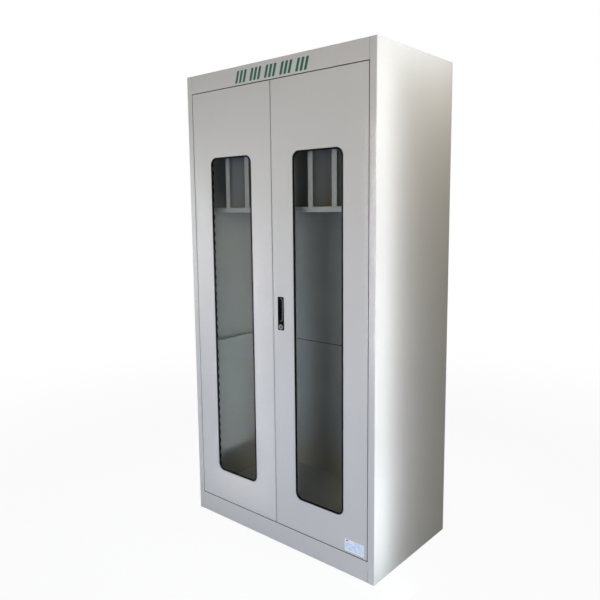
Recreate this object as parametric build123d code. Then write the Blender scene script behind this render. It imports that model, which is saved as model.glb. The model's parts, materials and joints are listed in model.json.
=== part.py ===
"""Steel tool cabinet with two windowed doors, a flush handle and a three-point lock.

Millimetres, +Z up, doors towards -Y. The origin is on the floor, at the middle of the footprint.
Most places are given by their distance behind the face of the cabinet's front frame.
"""
from build123d import *
from math import cos, radians, sin
import os

# ------------------------------------------------------------------ driving dimensions
# Cabinet body
height = 2000.0
width = 1000.0
depth = 550.0
sheet = 1.0                     # steel sheet of the whole cabinet
bend_radius = 1.0               # inside radius of every fold
stile_width = 30.0              # front frame, left and right of the doors
stile_depth = 25.0
stile_lip = 15.0
header_height = 75.0            # front frame above the doors
plinth_height = 85.0            # front frame below the doors
stop_front = 22.0               # front of the stop lips behind the closed doors
rail_return = 20.0              # flanges at the very top and bottom of the body
stop_lip = 18.0                 # upstand that stops the closed doors
stop_inset = 35.0               # its ends stay clear of the corners that swing inwards
rear_flange = 20.0
back_seam_height = 757.0        # where the upper back sheet laps over the lower one
back_lap = 24.0
joggle_run = 4.0

# Doors
door_depth = 20.0
side_gap = 2.5
end_gap = 3.0                   # above and below the doors
centre_gap = 4.0                # between the two doors
door_edge_radius = 2.0
door_lip = 15.0
pivot_inset = 14.0              # pivot axis from the door's outer edge
pivot_depth = 7.0               # pivot axis behind the door's face
strip_width = 14.0              # closing strip on the left door, behind the centre gap
strip_reach = 3.0

# Windows
window_top_margin = 279.5       # from the door's top edge to the gasket
window_bottom_margin = 142.5
window_side_margin = 110.75
window_corner_radius = 31.0
gasket_width = 10.5             # seen from the front
gasket_overlap = 4.5            # of the gasket over the door's skin
gasket_web = 1.0
gasket_stand = 1.8              # proud of the door's face
gasket_rear = 1.8
gasket_rounding = 1.2
glass_thickness = 4.0
gasket_clearance = 1.0

# Door stiffener beside the window
stiffener_width = 37.0
stiffener_foot = 10.0
stiffener_end = 30.0            # clear of the door's top and bottom

# Slotted posts that carry shelves
post_face = 30.0
post_height_in = 29.0           # from the side panel to the slotted face
post_foot = 10.0
post_front = 97.0               # front post's face, behind the cabinet's front
post_rear = 35.0                # rear post's face, ahead of the back sheet
slot_width = 8.0
slot_height = 20.0
slot_pitch = 40.0
first_slot = 147.0              # height of the lowest slot's centre
post_top_margin = 60.0          # plain length above the highest slot

# Top shelf and its dividers
shelf_front = 99.0
shelf_lip = 22.0
shelf_return = 12.0
shelf_rear_gap = 12.0
shelf_slot_count = 32           # slots of a post below the one that the shelf's clips hang in
shelf_notch = 30.0              # front corners are cut back beside the posts
shelf_notch_depth = 6.0
divider_pitch = 120.0
divider_count = 7
divider_sheet = 1.0
divider_flange = 12.5           # each divider is two folded sheets, back to back
divider_rear_gap = 6.0
clip_width = 16.0
clip_ledge = 18.0
clip_drop = 8.0

# Shelf bearers across the posts at mid height
bearer_slot_count = 16          # slots of a post below the one that the bearer hooks into
bearer_height = 26.0
bearer_rise = 19.0              # top of the bearer above the middle of its slot
bearer_ledge = 18.0
bearer_lip = 12.0
hook_width = 4.0
hook_height = 12.0
hook_drop = 4.0

# Foot plates
foot_size = 70.0
foot_thickness = 3.0
foot_hole_radius = 5.5

# Pivot pins and their nylon bushes
pin_radius = 3.0
pin_head_radius = 5.0
pin_head = 3.0
pin_reach = 14.0                # inside the door
bush_wall = 1.5
bush_collar = 2.5               # collar's radius beyond the pin

# Flush handle
handle_height = 1000.0          # of its middle
handle_length = 137.0
handle_width = 32.0
handle_inset = 41.0             # of its middle from the door's closing edge
handle_stand = 2.0
handle_corner = 4.0
pocket_length = 89.0
pocket_width = 16.5
pocket_rise = 15.5              # middle of the finger pocket above the middle of the handle
pocket_depth = 11.0             # behind the door's face
pocket_wall = 1.5
pocket_corner = 5.0
clamp_thickness = 1.5
clamp_width = 28.0
screw_radius = 2.0
screw_head_radius = 3.5
screw_head = 2.5
screw_bite = 1.2                # into the back of the handle's face plate

# Lock
lock_drop = 55.0                # lock centre below the handle's middle
ring_radius = 10.5
ring_stand = 1.0
barrel_radius = 8.5
barrel_depth = 10.0
nut_radius = 12.5
nut_thickness = 3.0
plug_radius = 6.0
plug_recess = 0.3
key_slot_width = 1.6
key_slot_length = 8.0
key_slot_depth = 6.0

# Crank and locking rods
crank_radius = 16.0
crank_thickness = 2.6
crank_throw = 12.0              # crank pin's distance from the lock's axis
crank_pin_radius = 2.5
crank_pin_head_radius = 4.0
crank_pin_head = 1.0
rest_angle = 45.0               # crank pins below and above the axis when unlocked
tail_width = 7.0
rod_width = 16.0
rod_thickness = 3.0
rod_tip_gap = 2.0               # unlocked tip behind the door's end flange
rod_end = 12.0                  # past the crank pins
arc_share = 0.033               # of the throw, by which a pin's height strays from an even climb
guide_wall = 2.0
guide_length = 14.0
guide_seat = 1.5
guide_places = (0.3, 0.86)      # along each rod, from the lock to the tip

# Rubber bumpers on the stops
bumper_radius = 5.0
bumper_places = (90.0, 400.0)   # left and right of the middle

# Clearances
weld_gap = 0.5                  # between neighbouring sheets that are welded edge to edge
seat_gap = 0.3                  # between a piece and what it rests against
running_gap = 0.05              # radial, pins in bushes
slide_gap = 0.3                 # round the rods
hole_gap = 1.0                  # round the rods where they pass a sheet

# ------------------------------------------------------------------ derived sizes
front = -(depth - handle_stand - ring_stand) / 2
side_inner = width / 2 - sheet
sheet_half = side_inner - bend_radius   # of sheets that lie between the sides' folds
opening_half = width / 2 - stile_width
header_z = height - header_height
door_bottom = plinth_height + end_gap
door_top = header_z - end_gap
door_inner = centre_gap / 2
door_outer = opening_half - side_gap
door_middle = (door_inner + door_outer) / 2
floor_top = plinth_height + sheet
back_inner = depth - 2 * sheet          # front of the back sheets, behind the cabinet's front
ceiling = height - 2 * sheet            # underside of the top panel
pivot_x = door_outer - pivot_inset
stop_half = opening_half - stop_inset

window_width = door_outer - door_inner - 2 * window_side_margin
window_bottom = door_bottom + window_bottom_margin
window_top = door_top - window_top_margin
window_edge = door_inner + window_side_margin

post_x = side_inner - post_height_in
front_post = post_front + post_face / 2
rear_post = back_inner - post_rear - post_face / 2
slot_count = int((ceiling - post_top_margin - first_slot) // slot_pitch) + 1
shelf_top = first_slot + shelf_slot_count * slot_pitch + 2 * sheet
bearer_top = first_slot + bearer_slot_count * slot_pitch + bearer_rise

lock_x = door_inner + handle_inset
lock_z = handle_height - lock_drop
pocket_z = handle_height + pocket_rise
crank_front = barrel_depth + slide_gap
crank_back = crank_front + crank_thickness
rod_front = crank_back + 2 * slide_gap
rod_back = rod_front + rod_thickness
pin_side = crank_throw * (1 + cos(radians(rest_angle))) / 2
pin_travel = crank_throw * (1 - cos(radians(rest_angle)))
rod_travel = 2 * crank_throw * sin(radians(rest_angle))


# ------------------------------------------------------------------ shape helpers
def block(x_limits, depth_limits, z_limits):
    """Box between limits; its depth limits are counted back from the cabinet's front."""
    limits = (x_limits, [front + place for place in depth_limits], z_limits)
    size = [high - low for low, high in limits]
    middle = [(high + low) / 2 for low, high in limits]
    return Pos(*middle) * Box(*size)


def rod_along_y(x, z, radius, near, far):
    """Round bar that runs straight back, between two distances behind the front."""
    place = Plane((x, front + near, z), x_dir=(1, 0, 0), z_dir=(0, 1, 0))
    return extrude(place * Circle(radius), far - near)


def rod_along_z(x, behind, radius, low, high):
    """Upright round bar."""
    return extrude(Pos(x, front + behind, low) * Circle(radius), high - low)


def rounded_panel(x, z, size_x, size_z, radius, near, far):
    """Upright plate with rounded corners, between two distances behind the front."""
    place = Plane((x, front + near, z), x_dir=(-1, 0, 0), z_dir=(0, 1, 0))
    return extrude(place * RectangleRounded(size_x, size_z, radius), far - near)


def folded_outline(path, gauge):
    """Section of a sheet folded along path; a positive gauge lies to the left of the path."""
    points = [Vector(*point) for point in path]
    legs = [(end - start).normalized() for start, end in zip(points, points[1:])]
    sides = [Vector(-leg.Y, leg.X) for leg in legs]
    turns = [before.X * after.Y - before.Y * after.X for before, after in zip(legs, legs[1:])]
    other = [points[0] + sides[0] * gauge]
    for corner, before, after in zip(points[1:], sides, sides[1:]):
        other.append(corner + (before + after) * (gauge / (1 + before.dot(after))))
    other.append(points[-1] + sides[-1] * gauge)
    tight, wide = bend_radius, bend_radius + abs(gauge)
    near = FilletPolyline(*points, radius=[wide if turn * gauge > 0 else tight for turn in turns])
    far = FilletPolyline(*other, radius=[tight if turn * gauge > 0 else wide for turn in turns])
    ends = [Line(near @ 0, far @ 0), Line(near @ 1, far @ 1)]
    return make_face([*near.edges(), *far.edges(), *ends])


def folded_upright(path, gauge, low, high):
    """Folded sheet of one section all the way up; path holds (x, distance behind the front)."""
    outline = folded_outline([(x, front + behind) for x, behind in path], gauge)
    return extrude(Pos(0, 0, low) * outline, high - low)


def folded_rail(path, gauge, half_length):
    """Folded sheet that runs from left to right; path holds (distance behind the front, z)."""
    outline = folded_outline([(front + behind, z) for behind, z in path], gauge)
    return extrude(Plane.YZ * outline, half_length, both=True)


def folded_lengthwise(path, gauge, near, far):
    """Folded sheet that runs from front to back; path holds (x, z)."""
    place = Plane((0, front + near, 0), x_dir=(1, 0, 0), z_dir=(0, -1, 0))
    return extrude(place * folded_outline(path, gauge), -(far - near))


def mirrored(shape):
    """The same piece on the other side of the cabinet."""
    return mirror(shape, about=Plane.YZ)


# ------------------------------------------------------------------ cabinet body
def side_panel_left():
    """Side sheet, folded into the door frame's stile in front and a flange behind."""
    edge = width / 2
    path = [(stile_width - stile_lip - edge, stile_depth),
            (stile_width - edge, stile_depth),
            (stile_width - edge, 0),
            (-edge, 0),
            (-edge, depth),
            (rear_flange - edge, depth)]
    panel = folded_upright(path, -sheet, 0, height)
    across = (-side_inner, -opening_half)
    along = (sheet, depth - sheet)
    panel += block(across, along, (height - sheet, height))
    panel += block((-side_inner, rear_flange - edge), along, (0, sheet))
    return panel


def header_rail():
    """Front frame above the doors, with the stop lip and the holes for pivots and top rod."""
    path = [(stop_front, header_z - stop_lip),
            (stop_front, header_z),
            (0, header_z),
            (0, height),
            (rail_return, height)]
    rail = folded_rail(path, -sheet, opening_half - weld_gap)
    trim_z = (header_z - stop_lip, header_z)
    return cut_rail(rail, trim_z, header_z, rod_holes=[pin_side])


def plinth_rail():
    """Front frame below the doors, with the stop lip and the holes for pivots and bottom rod."""
    path = [(rail_return, 0),
            (0, 0),
            (0, plinth_height),
            (stop_front, plinth_height),
            (stop_front, plinth_height + stop_lip)]
    rail = folded_rail(path, -sheet, opening_half - weld_gap)
    trim_z = (plinth_height, plinth_height + stop_lip)
    return cut_rail(rail, trim_z, plinth_height, rod_holes=[-pin_side])


def cut_rail(rail, trim_z, flange_z, rod_holes):
    """Trim a rail's stop lip beside the hinges, and cut its pivot holes and rod keeper."""
    lip = (stop_front - bend_radius, stop_front + 2 * sheet)
    hole_z = (flange_z - 2 * sheet, flange_z + 2 * sheet)
    for side in (-1, 1):
        across = sorted((side * stop_half, side * opening_half))
        rail -= block(across, lip, trim_z)
        rail -= rod_along_z(side * pivot_x, pivot_depth, pin_radius + running_gap, *hole_z)
    for offset in rod_holes:
        middle = lock_x + offset
        reach = rod_width / 2 + hole_gap
        rail -= block((middle - reach, middle + reach),
                      (rod_front - hole_gap, rod_back + hole_gap), hole_z)
    return rail


def top_panel():
    """Top sheet, welded under the flanges of the header and the sides."""
    top = ceiling + sheet
    path = [(bend_radius + 2 * sheet, top), (back_inner, top), (back_inner, top - rear_flange)]
    panel = folded_rail(path, -sheet, sheet_half)
    for side in (-1, 1):
        across = sorted((side * (opening_half - weld_gap), side * width / 2))
        panel -= block(across, (0, stile_depth + weld_gap), (ceiling - sheet, height))
    return panel


def floor_panel():
    """Floor tray: turned up behind the plinth's stop lip and against the back."""
    lip_back = stop_front + sheet
    path = [(lip_back, plinth_height + stop_lip), (lip_back, plinth_height),
            (back_inner, plinth_height), (back_inner, plinth_height + stop_lip)]
    tray = folded_rail(path, sheet, sheet_half)
    for side in (-1, 1):
        across = sorted((side * stop_half, side * width / 2))
        tray -= block(across, (0, stile_depth + sheet),
                      (plinth_height - sheet, plinth_height + 2 * stop_lip))
    return tray


def rear_base_rail():
    """Channel under the back of the floor."""
    path = [(back_inner - rail_return, 0), (back_inner, 0),
            (back_inner, plinth_height), (back_inner - rail_return, plinth_height)]
    half = side_inner - rear_flange
    return folded_rail(path, sheet, half)


def back_panel_lower():
    """Lower back sheet."""
    return block((-sheet_half, sheet_half), (back_inner, back_inner + sheet),
                 (sheet + seat_gap, back_seam_height + back_lap))


def back_panel_upper():
    """Upper back sheet, stepped forward at its foot to lap over the lower one."""
    rear = back_inner + sheet
    step = back_seam_height + back_lap + joggle_run
    path = [(rear, height - sheet - seat_gap), (rear, step + joggle_run),
            (rear - sheet, step), (rear - sheet, back_seam_height)]
    return folded_rail(path, -sheet, sheet_half)


def foot_plates():
    """Corner plates in the base, each with a hole for a levelling foot or floor bolt."""
    first = stile_depth + sheet
    last = back_inner - sheet - bend_radius - foot_size
    plates = []
    for side in (-1, 1):
        for near in (first, last):
            across = sorted((side * (side_inner - seat_gap), side * (side_inner - foot_size)))
            plate = block(across, (near, near + foot_size), (sheet, sheet + foot_thickness))
            plates.append(plate - rod_along_z(side * (side_inner - foot_size / 2),
                                              near + foot_size / 2, foot_hole_radius,
                                              0, 2 * foot_thickness))
    return plates


def post(middle):
    """Left post: a hat section on the side sheet, with a ladder of slots in its face."""
    near, far = middle - post_face / 2, middle + post_face / 2
    skin = side_inner - sheet
    path = [(-skin, near - post_foot), (-skin, near), (-post_x, near),
            (-post_x, far), (-skin, far), (-skin, far + post_foot)]
    channel = folded_upright(path, sheet, floor_top, ceiling - seat_gap)
    slots = []
    for index in range(slot_count):
        z = first_slot + index * slot_pitch
        slots.append(block((-post_x - 2 * sheet, -post_x + sheet),
                           (middle - slot_width / 2, middle + slot_width / 2),
                           (z - slot_height / 2, z + slot_height / 2)))
    return channel - slots


# ------------------------------------------------------------------ shelf, dividers, bearers
def top_shelf():
    """Shelf tray with folded front and rear lips; its front lip stops short of the posts."""
    low = shelf_top - shelf_lip
    rear = back_inner - shelf_rear_gap
    path = [(shelf_front + shelf_return, low), (shelf_front, low), (shelf_front, shelf_top),
            (rear, shelf_top), (rear, low), (rear - shelf_return, low)]
    half = post_x - seat_gap
    shelf = folded_rail(path, -sheet, half)
    for side in (-1, 1):
        across = sorted((side * (post_x - shelf_notch), side * width / 2))
        shelf -= block(across, (0, shelf_front + shelf_notch_depth), (low - sheet, shelf_top + sheet))
        shelf -= block(across, (0, shelf_front + shelf_return + sheet),
                       (low - sheet, shelf_top - 2 * sheet))
    return shelf


def shelf_clips():
    """Four clips that hang in the posts' slots and carry the shelf's top sheet."""
    seat = shelf_top - sheet
    slot_z = first_slot + shelf_slot_count * slot_pitch
    clips = []
    for middle in (front_post, rear_post):
        near = middle if middle == front_post else middle - clip_width
        path = [(-post_x, seat - 2 * clip_drop), (-post_x, seat), (clip_ledge - post_x, seat)]
        clip = folded_lengthwise(path, -sheet, near, near + clip_width)
        clip += hook(middle, slot_z)
        clips += [clip, mirrored(clip)]
    return clips


def hook(middle, slot_z):
    """Left hook: a tongue through a post's slot, with its nose down behind the face."""
    across = (middle - hook_width / 2, middle + hook_width / 2)
    behind_face = -post_x - sheet - seat_gap
    nose = behind_face - sheet
    low = slot_z - slot_height / 2
    tongue = block((nose, -post_x), across, (low + seat_gap, low + hook_height))
    return tongue + block((nose, behind_face), across, (low - hook_drop, low + hook_height))


def divider(x):
    """Two folded sheets set back to back, with flanges in front, above and below."""
    near = shelf_front + sheet
    far = back_inner - divider_rear_gap
    low, high = shelf_top, ceiling - seat_gap
    halves = []
    for side in (-1, 1):
        outer = sorted((x, x + side * divider_flange))
        hollow = sorted((x + side * divider_sheet, x + side * 2 * divider_flange))
        tray = block(outer, (near, far), (low, high))
        tray -= block(hollow, (near + divider_sheet, far + sheet),
                      (low + divider_sheet, high - divider_sheet))
        halves.append(tray)
    return halves


def shelf_bearer_left():
    """Ledge hooked across the front and rear posts, for a shelf at mid height."""
    ledge = bearer_ledge - post_x
    path = [(-post_x, bearer_top - bearer_height), (-post_x, bearer_top),
            (ledge, bearer_top), (ledge, bearer_top - bearer_lip)]
    slot_z = first_slot + bearer_slot_count * slot_pitch
    bearer = folded_lengthwise(path, -sheet, front_post - post_face / 2,
                               rear_post + post_face / 2)
    return bearer + hook(front_post, slot_z) + hook(rear_post, slot_z)


# ------------------------------------------------------------------ hinges
def pivot_pin(side, top):
    """Headed pin, fixed in the header or plinth flange, that the door turns on."""
    flange = header_z + sheet if top else plinth_height - sheet
    door_end = door_top if top else door_bottom
    up = 1 if top else -1
    shank = sorted((flange, door_end - up * pin_reach))
    head = sorted((flange, flange + up * pin_head))
    x = side * pivot_x
    return (rod_along_z(x, pivot_depth, pin_radius, *shank)
            + rod_along_z(x, pivot_depth, pin_head_radius, *head))


def hinge_bush(side, top):
    """Nylon bush in the door's end flange; its collar runs on the cabinet's flange."""
    door_end = door_top if top else door_bottom
    up = 1 if top else -1
    play = seat_gap if top else seat_gap / 3
    bore = pin_radius + running_gap
    x = side * pivot_x
    body = sorted((door_end, door_end - up * (pin_reach + sheet)))
    collar = sorted((door_end, door_end + up * (end_gap - play)))
    bush = rod_along_z(x, pivot_depth, bore + bush_wall, *body)
    bush += rod_along_z(x, pivot_depth, pin_radius + bush_collar, *collar)
    return bush - rod_along_z(x, pivot_depth, bore, body[0] - end_gap, body[1] + end_gap)


# ------------------------------------------------------------------ doors
def door_pan_left():
    """Door shell: a skin folded back on four sides, with return lips and a window opening."""
    x_limits = (-door_outer, -door_inner)
    z_limits = (door_bottom, door_top)
    pan = block(x_limits, (0, door_depth), z_limits)
    face_edges = pan.faces().sort_by(Axis.Y)[0].edges()
    pan = fillet([*face_edges, *pan.edges().filter_by(Axis.Y)], door_edge_radius)
    inner_x = (-door_outer + sheet, -door_inner - sheet)
    inner_z = (door_bottom + sheet, door_top - sheet)
    pan -= block(inner_x, (sheet, door_depth - sheet), inner_z)
    reach = door_lip
    pan -= block((-door_outer + reach, -door_inner - reach), (sheet, 2 * door_depth),
                 (door_bottom + reach, door_top - reach))
    pan -= window_panel(gasket_overlap, -sheet, 2 * sheet)
    hole = pin_radius + 2 * running_gap + bush_wall
    pan -= rod_along_z(-pivot_x, pivot_depth, hole, door_bottom - sheet, door_bottom + 2 * sheet)
    return pan - rod_along_z(-pivot_x, pivot_depth, hole, door_top - 2 * sheet, door_top + sheet)


def window_panel(inset, near, far):
    """Plate of the left window's outline, inset evenly from the gasket's outer edge."""
    return rounded_panel(-door_middle, (window_bottom + window_top) / 2,
                         window_width - 2 * inset, window_top - window_bottom - 2 * inset,
                         window_corner_radius - inset, near, far)


def door_pan_right():
    """Right door shell, with the cut-outs for the handle, lock, screws and locking rods."""
    pan = mirrored(door_pan_left())
    through = (-sheet, 2 * sheet)
    pan -= pocket_panel(pocket_wall + seat_gap, *through)
    pan -= rod_along_y(lock_x, lock_z, barrel_radius + slide_gap, *through)
    for z in screw_heights():
        pan -= rod_along_y(lock_x, z, screw_radius + running_gap, *through)
    for offset, end in ((pin_side, door_top), (-pin_side, door_bottom)):
        reach = rod_width / 2 + slide_gap
        pan -= block((lock_x + offset - reach, lock_x + offset + reach),
                     (rod_front - slide_gap, rod_back + slide_gap),
                     (end - 2 * sheet, end + 2 * sheet))
    return pan


def window_gasket_left():
    """Rubber H-section that grips the door's skin on one side and the glass on the other."""
    lip = ring(0, gasket_width, -gasket_stand, 0)
    front_edges = lip.faces().sort_by(Axis.Y)[0].edges()
    gasket = fillet(front_edges, gasket_rounding)
    web = gasket_overlap + gasket_web
    rear = glass_thickness + gasket_rear
    gasket += ring(gasket_overlap, web, 0, rear)
    gasket += ring(web, gasket_width, glass_thickness, rear)
    return gasket + ring(0, gasket_overlap, sheet, sheet + gasket_rear)


def ring(outer_inset, inner_inset, near, far):
    """Frame between two insets of the window's outline."""
    inside = window_panel(inner_inset, near - sheet, far + sheet)
    return window_panel(outer_inset, near, far) - inside


def window_glass_left():
    """Glass pane held by the gasket."""
    return window_panel(gasket_overlap + gasket_web, 0, glass_thickness)


def door_stiffener_left():
    """Hat section on the back of the skin, between the window and the closing edge."""
    flank = window_edge - gasket_clearance
    start = flank - stiffener_width
    crown = door_depth - sheet
    path = [(-flank, sheet), (-flank, crown), (-start, crown),
            (-start, 2 * sheet), (stiffener_foot - start, 2 * sheet)]
    return folded_upright(path, -sheet, door_bottom + stiffener_end, door_top - stiffener_end)


def closing_strip():
    """Flat strip on the left door's back that shuts off the view through the centre gap."""
    start = -door_inner - strip_width
    return block((start, strip_reach - door_inner), (door_depth, door_depth + sheet),
                 (door_bottom + stop_lip, door_top - stop_lip))


def door_bumpers():
    """Rubber buttons on the stop lips, where the doors come to rest."""
    buttons = []
    for z in (plinth_height + stop_lip / 2 + sheet, header_z - stop_lip / 2 - sheet):
        for place in bumper_places:
            for side in (-1, 1):
                buttons.append(rod_along_y(side * place, z, bumper_radius,
                                           door_depth + seat_gap, stop_front))
    return buttons


# ------------------------------------------------------------------ handle and lock
def pocket_panel(margin, near, far):
    """Plate of the finger pocket's outline, grown by a margin."""
    return rounded_panel(lock_x, pocket_z, pocket_width + 2 * margin,
                         pocket_length + 2 * margin, pocket_corner + margin, near, far)


def screw_heights():
    """Heights of the two handle screws, midway between the pocket and the plate's features."""
    pocket_low = pocket_z - pocket_length / 2 - pocket_wall
    pocket_high = pocket_z + pocket_length / 2 + pocket_wall
    plate_high = handle_height + handle_length / 2
    return ((pocket_low + lock_z + nut_radius) / 2, (pocket_high + plate_high) / 2)


def handle_housing():
    """Flush handle: a face plate with a finger pocket sunk through the door's skin."""
    plate = rounded_panel(lock_x, handle_height, handle_width, handle_length,
                          handle_corner, -handle_stand, 0)
    rim = plate.faces().sort_by(Axis.Y)[0].edges()
    housing = fillet(rim, handle_stand / 2)
    housing += pocket_panel(pocket_wall, 0, pocket_depth + pocket_wall)
    pocket = pocket_panel(0, -2 * handle_stand, pocket_depth)
    floor_edges = pocket.faces().sort_by(Axis.Y)[-1].edges()
    housing -= fillet(floor_edges, pocket_corner / 2)
    housing -= rod_along_y(lock_x, lock_z, barrel_radius + running_gap, -2 * handle_stand, sheet)
    for z in screw_heights():
        housing -= rod_along_y(lock_x, z, screw_radius + running_gap, -screw_bite, sheet)
    return housing


def handle_clamp():
    """Plate behind the skin that the handle's screws pull against."""
    low = lock_z + nut_radius + seat_gap
    high = handle_height + handle_length / 2
    clamp = block((lock_x - clamp_width / 2, lock_x + clamp_width / 2),
                  (sheet, sheet + clamp_thickness), (low, high))
    clamp -= pocket_panel(pocket_wall + seat_gap, 0, 3 * sheet)
    for z in screw_heights():
        clamp -= rod_along_y(lock_x, z, screw_radius + running_gap, 0, 3 * sheet)
    return clamp


def handle_screws():
    """Two screws from the clamp into the handle's face plate."""
    screws = []
    for z in screw_heights():
        seat = sheet + clamp_thickness
        screws.append(rod_along_y(lock_x, z, screw_radius, -screw_bite, seat)
                      + rod_along_y(lock_x, z, screw_head_radius, seat, seat + screw_head))
    return screws


def lock_barrel():
    """Fixed barrel of the lock, with a bright ring on the handle's face."""
    bore = plug_radius + running_gap
    face = -handle_stand - ring_stand
    collar = rod_along_y(lock_x, lock_z, ring_radius, face, -handle_stand)
    collar = fillet(collar.faces().sort_by(Axis.Y)[0].edges(), ring_stand / 2)
    barrel = collar + rod_along_y(lock_x, lock_z, barrel_radius, -handle_stand, barrel_depth)
    return barrel - rod_along_y(lock_x, lock_z, bore, 2 * face, 2 * barrel_depth)


def lock_nut():
    """Ring nut that clamps the barrel behind the skin."""
    place = Plane((lock_x, front + sheet, lock_z), x_dir=(1, 0, 0), z_dir=(0, 1, 0))
    nut = extrude(place * RegularPolygon(nut_radius, 6), nut_thickness)
    return nut - rod_along_y(lock_x, lock_z, barrel_radius + running_gap, 0, 2 * nut_thickness)


def lock_plug():
    """Turning plug with a key slot in front and a square tail for the crank."""
    face = plug_recess - handle_stand - ring_stand
    plug = rod_along_y(lock_x, lock_z, plug_radius, face, crank_front)
    half_slot = (key_slot_width / 2, key_slot_length / 2)
    plug -= block((lock_x - half_slot[1], lock_x + half_slot[1]),
                  (face - sheet, face + key_slot_depth),
                  (lock_z - half_slot[0], lock_z + half_slot[0]))
    half = tail_width / 2
    return plug + block((lock_x - half, lock_x + half), (crank_front, crank_back),
                        (lock_z - half, lock_z + half))


def crank_points():
    """Unlocked places of the upper and lower rod's crank pins."""
    side = crank_throw * cos(radians(rest_angle))
    drop = crank_throw * sin(radians(rest_angle))
    return ((lock_x + side, lock_z - drop), (lock_x - side, lock_z + drop))


def crank_disc():
    """Disc on the plug's tail that carries the two crank pins."""
    disc = rod_along_y(lock_x, lock_z, crank_radius, crank_front, crank_back)
    half = tail_width / 2
    disc -= block((lock_x - half, lock_x + half), (0, door_depth), (lock_z - half, lock_z + half))
    for x, z in crank_points():
        disc -= rod_along_y(x, z, crank_pin_radius, 0, door_depth)
    return disc


def crank_pins():
    """Headed pins in the disc that drive the locking rods."""
    head = rod_back + slide_gap
    pins = []
    for x, z in crank_points():
        pins.append(rod_along_y(x, z, crank_pin_radius, crank_front, head)
                    + rod_along_y(x, z, crank_pin_head_radius, head, head + crank_pin_head))
    return pins


def rod_limits(up):
    """Lower and upper ends of a locking rod when unlocked."""
    pin_z = crank_points()[0][1] if up > 0 else crank_points()[1][1]
    tip = door_top - sheet - rod_tip_gap if up > 0 else door_bottom + sheet + rod_tip_gap
    return sorted((pin_z - up * rod_end, tip))


def locking_rod(up):
    """Flat rod with a cross slot for its crank pin and a chamfered tip."""
    x = lock_x + up * pin_side
    low, high = rod_limits(up)
    rod = block((x - rod_width / 2, x + rod_width / 2), (rod_front, rod_back), (low, high))
    tip = rod.faces().sort_by(Axis.Z)[-1 if up > 0 else 0]
    rod = chamfer(tip.edges().filter_by(Axis.Y), rod_thickness)
    pin_z = crank_points()[0][1] if up > 0 else crank_points()[1][1]
    half = (pin_travel / 2 + crank_pin_radius + slide_gap,
            arc_share * crank_throw + crank_pin_radius + slide_gap)
    return rod - block((x - half[0], x + half[0]), (rod_front - sheet, rod_back + sheet),
                       (pin_z - half[1], pin_z + half[1]))


def rod_guides():
    """Nylon blocks on the back of the skin, two for each rod."""
    blocks = []
    for up in (1, -1):
        x = lock_x + up * pin_side
        low, high = rod_limits(up)
        for share in guide_places:
            z = low + share * (high - low) if up > 0 else high - share * (high - low)
            outer = rod_width / 2 + slide_gap + guide_wall
            body = block((x - outer, x + outer), (sheet, rod_back + slide_gap + guide_seat),
                         (z - guide_length / 2, z + guide_length / 2))
            body = chamfer(body.edges().filter_by(Axis.Z), guide_wall / 2)
            inner = rod_width / 2 + slide_gap
            blocks.append(body - block((x - inner, x + inner),
                                       (rod_front - slide_gap, rod_back + slide_gap),
                                       (z - guide_length, z + guide_length)))
    return blocks


# ------------------------------------------------------------------ named pieces
def pieces():
    """Every node's name and its solid, or its group of solids."""
    left_side = side_panel_left()
    front_left, rear_left = post(front_post), post(rear_post)
    bearer = shelf_bearer_left()
    pan, gasket, glass = door_pan_left(), window_gasket_left(), window_glass_left()
    stiffener = door_stiffener_left()
    named = {
        "side_panel_left": left_side,
        "side_panel_right": mirrored(left_side),
        "header_rail": header_rail(),
        "plinth_rail": plinth_rail(),
        "top_panel": top_panel(),
        "floor_panel": floor_panel(),
        "rear_base_rail": rear_base_rail(),
        "back_panel_lower": back_panel_lower(),
        "back_panel_upper": back_panel_upper(),
        "foot_plates": foot_plates(),
        "post_front_left": front_left,
        "post_front_right": mirrored(front_left),
        "post_rear_left": rear_left,
        "post_rear_right": mirrored(rear_left),
        "top_shelf": top_shelf(),
        "shelf_clips": shelf_clips(),
        "shelf_bearer_left": bearer,
        "shelf_bearer_right": mirrored(bearer),
        "door_bumpers": door_bumpers(),
        "door_pan_left": pan,
        "door_pan_right": door_pan_right(),
        "window_gasket_left": gasket,
        "window_gasket_right": mirrored(gasket),
        "window_glass_left": glass,
        "window_glass_right": mirrored(glass),
        "door_stiffener_left": stiffener,
        "door_stiffener_right": mirrored(stiffener),
        "closing_strip": closing_strip(),
        "handle_housing": handle_housing(),
        "handle_clamp": handle_clamp(),
        "handle_screws": handle_screws(),
        "lock_barrel": lock_barrel(),
        "lock_nut": lock_nut(),
        "lock_plug": lock_plug(),
        "crank_disc": crank_disc(),
        "crank_pins": crank_pins(),
        "rod_upper": locking_rod(1),
        "rod_lower": locking_rod(-1),
        "rod_guides": rod_guides(),
    }
    for index in range(divider_count):
        x = (index - (divider_count - 1) / 2) * divider_pitch
        named[f"divider_{index + 1}"] = divider(x)
    for side, side_name in ((-1, "left"), (1, "right")):
        for top, end_name in ((True, "top"), (False, "bottom")):
            named[f"pivot_pin_{side_name}_{end_name}"] = pivot_pin(side, top)
            named[f"hinge_bush_{side_name}_{end_name}"] = hinge_bush(side, top)
    return named


os.makedirs("parts", exist_ok=True)
cabinet = pieces()
for name, shape in cabinet.items():
    whole = Compound(children=shape) if isinstance(shape, list) else shape
    export_step(whole, f"parts/{name}.step")
print(f"{len(cabinet)} pieces; the locking rods travel {rod_travel:.2f} mm")
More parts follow.
